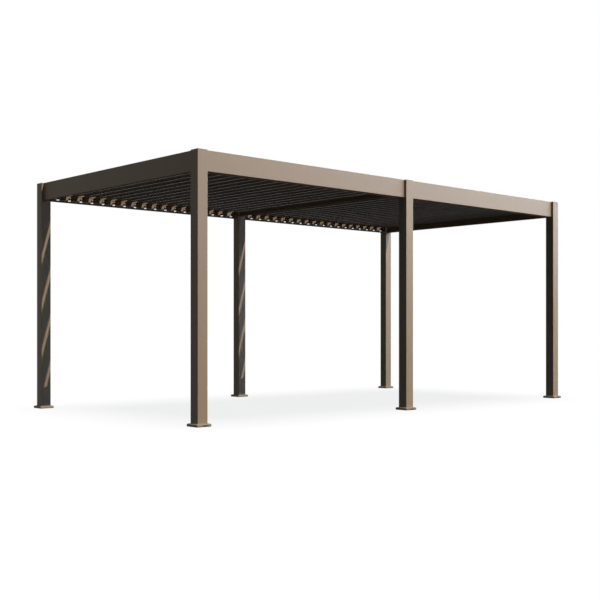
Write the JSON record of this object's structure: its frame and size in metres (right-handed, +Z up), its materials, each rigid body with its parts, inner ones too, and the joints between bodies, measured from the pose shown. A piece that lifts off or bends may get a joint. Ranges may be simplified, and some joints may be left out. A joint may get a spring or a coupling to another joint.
{
  "type": "louvered pergola",
  "caption": "Free-standing two-bay pergola on square posts, with hollow beams, rain gutters, light strips and tilting roof louvers.",
  "frame": {"origin": "on the ground at the centre of the footprint of the foot covers", "axes": "+X along the long side, +Y from front to back, +Z up"},
  "size_m": [5.754, 3.054, 2.5],
  "materials": {
    "powder_coat": "satin taupe bronze powder coat",
    "louver_coat": "satin taupe bronze powder coat",
    "cap_plastic": "fine moulded texture in the paint's colour",
    "diffuser": "milky light diffuser",
    "zinc_steel": "zinc plated"
  },
  "bodies": {
    "frame": {"post_front_left": "powder_coat", "post_front_middle": "powder_coat", "post_front_right": "powder_coat", "post_back_left": "powder_coat", "post_back_middle": "powder_coat", "post_back_right": "powder_coat", "post_caps": "cap_plastic", "front_beam_left": "powder_coat", "front_beam_right": "powder_coat", "back_beam_left": "powder_coat", "back_beam_right": "powder_coat", "left_beam": "powder_coat", "middle_beam": "powder_coat", "right_beam": "powder_coat", "louver_rails_front": "powder_coat", "louver_rails_back": "powder_coat", "light_strips_front": "diffuser", "light_strips_back": "diffuser", "foot_plates": "zinc_steel", "foot_covers": "powder_coat"},
    "louver_left_01": {"louver_left_01": "louver_coat"},
    "louver_left_02": {"louver_left_02": "louver_coat"},
    "louver_left_03": {"louver_left_03": "louver_coat"},
    "louver_left_04": {"louver_left_04": "louver_coat"},
    "louver_left_05": {"louver_left_05": "louver_coat"},
    "louver_left_06": {"louver_left_06": "louver_coat"},
    "louver_left_07": {"louver_left_07": "louver_coat"},
    "louver_left_08": {"louver_left_08": "louver_coat"},
    "louver_left_09": {"louver_left_09": "louver_coat"},
    "louver_left_10": {"louver_left_10": "louver_coat"},
    "louver_left_11": {"louver_left_11": "louver_coat"},
    "louver_left_12": {"louver_left_12": "louver_coat"},
    "louver_left_13": {"louver_left_13": "louver_coat"},
    "louver_left_14": {"louver_left_14": "louver_coat"},
    "louver_left_15": {"louver_left_15": "louver_coat"},
    "louver_left_16": {"louver_left_16": "louver_coat"},
    "louver_left_17": {"louver_left_17": "louver_coat"},
    "louver_left_18": {"louver_left_18": "louver_coat"},
    "louver_left_19": {"louver_left_19": "louver_coat"},
    "louver_right_01": {"louver_right_01": "louver_coat"},
    "louver_right_02": {"louver_right_02": "louver_coat"},
    "louver_right_03": {"louver_right_03": "louver_coat"},
    "louver_right_04": {"louver_right_04": "louver_coat"},
    "louver_right_05": {"louver_right_05": "louver_coat"},
    "louver_right_06": {"louver_right_06": "louver_coat"},
    "louver_right_07": {"louver_right_07": "louver_coat"},
    "louver_right_08": {"louver_right_08": "louver_coat"},
    "louver_right_09": {"louver_right_09": "louver_coat"},
    "louver_right_10": {"louver_right_10": "louver_coat"},
    "louver_right_11": {"louver_right_11": "louver_coat"},
    "louver_right_12": {"louver_right_12": "louver_coat"},
    "louver_right_13": {"louver_right_13": "louver_coat"},
    "louver_right_14": {"louver_right_14": "louver_coat"},
    "louver_right_15": {"louver_right_15": "louver_coat"},
    "louver_right_16": {"louver_right_16": "louver_coat"},
    "louver_right_17": {"louver_right_17": "louver_coat"},
    "louver_right_18": {"louver_right_18": "louver_coat"},
    "louver_right_19": {"louver_right_19": "louver_coat"}
  },
  "joints": [
    {"name": "louver_left_01_tilt", "type": "hinge", "parent": "frame", "child": "louver_left_01", "pos_m": [-2.7052, 0, 2.411], "axis": [0, 1, 0], "range_deg": [-62, 28]},
    {"name": "louver_left_02_tilt", "type": "hinge", "parent": "frame", "child": "louver_left_02", "pos_m": [-2.56059, 0, 2.411], "axis": [0, 1, 0], "range_deg": [-62, 28]},
    {"name": "louver_left_03_tilt", "type": "hinge", "parent": "frame", "child": "louver_left_03", "pos_m": [-2.41599, 0, 2.411], "axis": [0, 1, 0], "range_deg": [-62, 28]},
    {"name": "louver_left_04_tilt", "type": "hinge", "parent": "frame", "child": "louver_left_04", "pos_m": [-2.27138, 0, 2.411], "axis": [0, 1, 0], "range_deg": [-62, 28]},
    {"name": "louver_left_05_tilt", "type": "hinge", "parent": "frame", "child": "louver_left_05", "pos_m": [-2.12678, 0, 2.411], "axis": [0, 1, 0], "range_deg": [-62, 28]},
    {"name": "louver_left_06_tilt", "type": "hinge", "parent": "frame", "child": "louver_left_06", "pos_m": [-1.98217, 0, 2.411], "axis": [0, 1, 0], "range_deg": [-62, 28]},
    {"name": "louver_left_07_tilt", "type": "hinge", "parent": "frame", "child": "louver_left_07", "pos_m": [-1.83757, 0, 2.411], "axis": [0, 1, 0], "range_deg": [-62, 28]},
    {"name": "louver_left_08_tilt", "type": "hinge", "parent": "frame", "child": "louver_left_08", "pos_m": [-1.69296, 0, 2.411], "axis": [0, 1, 0], "range_deg": [-62, 28]},
    {"name": "louver_left_09_tilt", "type": "hinge", "parent": "frame", "child": "louver_left_09", "pos_m": [-1.54835, 0, 2.411], "axis": [0, 1, 0], "range_deg": [-62, 28]},
    {"name": "louver_left_10_tilt", "type": "hinge", "parent": "frame", "child": "louver_left_10", "pos_m": [-1.40375, 0, 2.411], "axis": [0, 1, 0], "range_deg": [-62, 28]},
    {"name": "louver_left_11_tilt", "type": "hinge", "parent": "frame", "child": "louver_left_11", "pos_m": [-1.25914, 0, 2.411], "axis": [0, 1, 0], "range_deg": [-62, 28]},
    {"name": "louver_left_12_tilt", "type": "hinge", "parent": "frame", "child": "louver_left_12", "pos_m": [-1.11454, 0, 2.411], "axis": [0, 1, 0], "range_deg": [-62, 28]},
    {"name": "louver_left_13_tilt", "type": "hinge", "parent": "frame", "child": "louver_left_13", "pos_m": [-0.96993, 0, 2.411], "axis": [0, 1, 0], "range_deg": [-62, 28]},
    {"name": "louver_left_14_tilt", "type": "hinge", "parent": "frame", "child": "louver_left_14", "pos_m": [-0.82533, 0, 2.411], "axis": [0, 1, 0], "range_deg": [-62, 28]},
    {"name": "louver_left_15_tilt", "type": "hinge", "parent": "frame", "child": "louver_left_15", "pos_m": [-0.68072, 0, 2.411], "axis": [0, 1, 0], "range_deg": [-62, 28]},
    {"name": "louver_left_16_tilt", "type": "hinge", "parent": "frame", "child": "louver_left_16", "pos_m": [-0.53612, 0, 2.411], "axis": [0, 1, 0], "range_deg": [-62, 28]},
    {"name": "louver_left_17_tilt", "type": "hinge", "parent": "frame", "child": "louver_left_17", "pos_m": [-0.39151, 0, 2.411], "axis": [0, 1, 0], "range_deg": [-62, 28]},
    {"name": "louver_left_18_tilt", "type": "hinge", "parent": "frame", "child": "louver_left_18", "pos_m": [-0.24691, 0, 2.411], "axis": [0, 1, 0], "range_deg": [-62, 28]},
    {"name": "louver_left_19_tilt", "type": "hinge", "parent": "frame", "child": "louver_left_19", "pos_m": [-0.1023, 0, 2.411], "axis": [0, 1, 0], "range_deg": [-62, 28]},
    {"name": "louver_right_01_tilt", "type": "hinge", "parent": "frame", "child": "louver_right_01", "pos_m": [0.0983, 0, 2.411], "axis": [0, 1, 0], "range_deg": [-62, 28]},
    {"name": "louver_right_02_tilt", "type": "hinge", "parent": "frame", "child": "louver_right_02", "pos_m": [0.24291, 0, 2.411], "axis": [0, 1, 0], "range_deg": [-62, 28]},
    {"name": "louver_right_03_tilt", "type": "hinge", "parent": "frame", "child": "louver_right_03", "pos_m": [0.38751, 0, 2.411], "axis": [0, 1, 0], "range_deg": [-62, 28]},
    {"name": "louver_right_04_tilt", "type": "hinge", "parent": "frame", "child": "louver_right_04", "pos_m": [0.53212, 0, 2.411], "axis": [0, 1, 0], "range_deg": [-62, 28]},
    {"name": "louver_right_05_tilt", "type": "hinge", "parent": "frame", "child": "louver_right_05", "pos_m": [0.67672, 0, 2.411], "axis": [0, 1, 0], "range_deg": [-62, 28]},
    {"name": "louver_right_06_tilt", "type": "hinge", "parent": "frame", "child": "louver_right_06", "pos_m": [0.82133, 0, 2.411], "axis": [0, 1, 0], "range_deg": [-62, 28]},
    {"name": "louver_right_07_tilt", "type": "hinge", "parent": "frame", "child": "louver_right_07", "pos_m": [0.96593, 0, 2.411], "axis": [0, 1, 0], "range_deg": [-62, 28]},
    {"name": "louver_right_08_tilt", "type": "hinge", "parent": "frame", "child": "louver_right_08", "pos_m": [1.11054, 0, 2.411], "axis": [0, 1, 0], "range_deg": [-62, 28]},
    {"name": "louver_right_09_tilt", "type": "hinge", "parent": "frame", "child": "louver_right_09", "pos_m": [1.25514, 0, 2.411], "axis": [0, 1, 0], "range_deg": [-62, 28]},
    {"name": "louver_right_10_tilt", "type": "hinge", "parent": "frame", "child": "louver_right_10", "pos_m": [1.39975, 0, 2.411], "axis": [0, 1, 0], "range_deg": [-62, 28]},
    {"name": "louver_right_11_tilt", "type": "hinge", "parent": "frame", "child": "louver_right_11", "pos_m": [1.54435, 0, 2.411], "axis": [0, 1, 0], "range_deg": [-62, 28]},
    {"name": "louver_right_12_tilt", "type": "hinge", "parent": "frame", "child": "louver_right_12", "pos_m": [1.68896, 0, 2.411], "axis": [0, 1, 0], "range_deg": [-62, 28]},
    {"name": "louver_right_13_tilt", "type": "hinge", "parent": "frame", "child": "louver_right_13", "pos_m": [1.83357, 0, 2.411], "axis": [0, 1, 0], "range_deg": [-62, 28]},
    {"name": "louver_right_14_tilt", "type": "hinge", "parent": "frame", "child": "louver_right_14", "pos_m": [1.97817, 0, 2.411], "axis": [0, 1, 0], "range_deg": [-62, 28]},
    {"name": "louver_right_15_tilt", "type": "hinge", "parent": "frame", "child": "louver_right_15", "pos_m": [2.12278, 0, 2.411], "axis": [0, 1, 0], "range_deg": [-62, 28]},
    {"name": "louver_right_16_tilt", "type": "hinge", "parent": "frame", "child": "louver_right_16", "pos_m": [2.26738, 0, 2.411], "axis": [0, 1, 0], "range_deg": [-62, 28]},
    {"name": "louver_right_17_tilt", "type": "hinge", "parent": "frame", "child": "louver_right_17", "pos_m": [2.41199, 0, 2.411], "axis": [0, 1, 0], "range_deg": [-62, 28]},
    {"name": "louver_right_18_tilt", "type": "hinge", "parent": "frame", "child": "louver_right_18", "pos_m": [2.55659, 0, 2.411], "axis": [0, 1, 0], "range_deg": [-62, 28]},
    {"name": "louver_right_19_tilt", "type": "hinge", "parent": "frame", "child": "louver_right_19", "pos_m": [2.7012, 0, 2.411], "axis": [0, 1, 0], "range_deg": [-62, 28]}
  ],
  "couplings": [
    {"joint": "louver_left_01_tilt", "follows": "louver_left_10_tilt", "ratio": 1},
    {"joint": "louver_left_02_tilt", "follows": "louver_left_10_tilt", "ratio": 1},
    {"joint": "louver_left_03_tilt", "follows": "louver_left_10_tilt", "ratio": 1},
    {"joint": "louver_left_04_tilt", "follows": "louver_left_10_tilt", "ratio": 1},
    {"joint": "louver_left_05_tilt", "follows": "louver_left_10_tilt", "ratio": 1},
    {"joint": "louver_left_06_tilt", "follows": "louver_left_10_tilt", "ratio": 1},
    {"joint": "louver_left_07_tilt", "follows": "louver_left_10_tilt", "ratio": 1},
    {"joint": "louver_left_08_tilt", "follows": "louver_left_10_tilt", "ratio": 1},
    {"joint": "louver_left_09_tilt", "follows": "louver_left_10_tilt", "ratio": 1},
    {"joint": "louver_left_11_tilt", "follows": "louver_left_10_tilt", "ratio": 1},
    {"joint": "louver_left_12_tilt", "follows": "louver_left_10_tilt", "ratio": 1},
    {"joint": "louver_left_13_tilt", "follows": "louver_left_10_tilt", "ratio": 1},
    {"joint": "louver_left_14_tilt", "follows": "louver_left_10_tilt", "ratio": 1},
    {"joint": "louver_left_15_tilt", "follows": "louver_left_10_tilt", "ratio": 1},
    {"joint": "louver_left_16_tilt", "follows": "louver_left_10_tilt", "ratio": 1},
    {"joint": "louver_left_17_tilt", "follows": "louver_left_10_tilt", "ratio": 1},
    {"joint": "louver_left_18_tilt", "follows": "louver_left_10_tilt", "ratio": 1},
    {"joint": "louver_left_19_tilt", "follows": "louver_left_10_tilt", "ratio": 1},
    {"joint": "louver_right_01_tilt", "follows": "louver_right_10_tilt", "ratio": 1},
    {"joint": "louver_right_02_tilt", "follows": "louver_right_10_tilt", "ratio": 1},
    {"joint": "louver_right_03_tilt", "follows": "louver_right_10_tilt", "ratio": 1},
    {"joint": "louver_right_04_tilt", "follows": "louver_right_10_tilt", "ratio": 1},
    {"joint": "louver_right_05_tilt", "follows": "louver_right_10_tilt", "ratio": 1},
    {"joint": "louver_right_06_tilt", "follows": "louver_right_10_tilt", "ratio": 1},
    {"joint": "louver_right_07_tilt", "follows": "louver_right_10_tilt", "ratio": 1},
    {"joint": "louver_right_08_tilt", "follows": "louver_right_10_tilt", "ratio": 1},
    {"joint": "louver_right_09_tilt", "follows": "louver_right_10_tilt", "ratio": 1},
    {"joint": "louver_right_11_tilt", "follows": "louver_right_10_tilt", "ratio": 1},
    {"joint": "louver_right_12_tilt", "follows": "louver_right_10_tilt", "ratio": 1},
    {"joint": "louver_right_13_tilt", "follows": "louver_right_10_tilt", "ratio": 1},
    {"joint": "louver_right_14_tilt", "follows": "louver_right_10_tilt", "ratio": 1},
    {"joint": "louver_right_15_tilt", "follows": "louver_right_10_tilt", "ratio": 1},
    {"joint": "louver_right_16_tilt", "follows": "louver_right_10_tilt", "ratio": 1},
    {"joint": "louver_right_17_tilt", "follows": "louver_right_10_tilt", "ratio": 1},
    {"joint": "louver_right_18_tilt", "follows": "louver_right_10_tilt", "ratio": 1},
    {"joint": "louver_right_19_tilt", "follows": "louver_right_10_tilt", "ratio": 1}
  ]
}
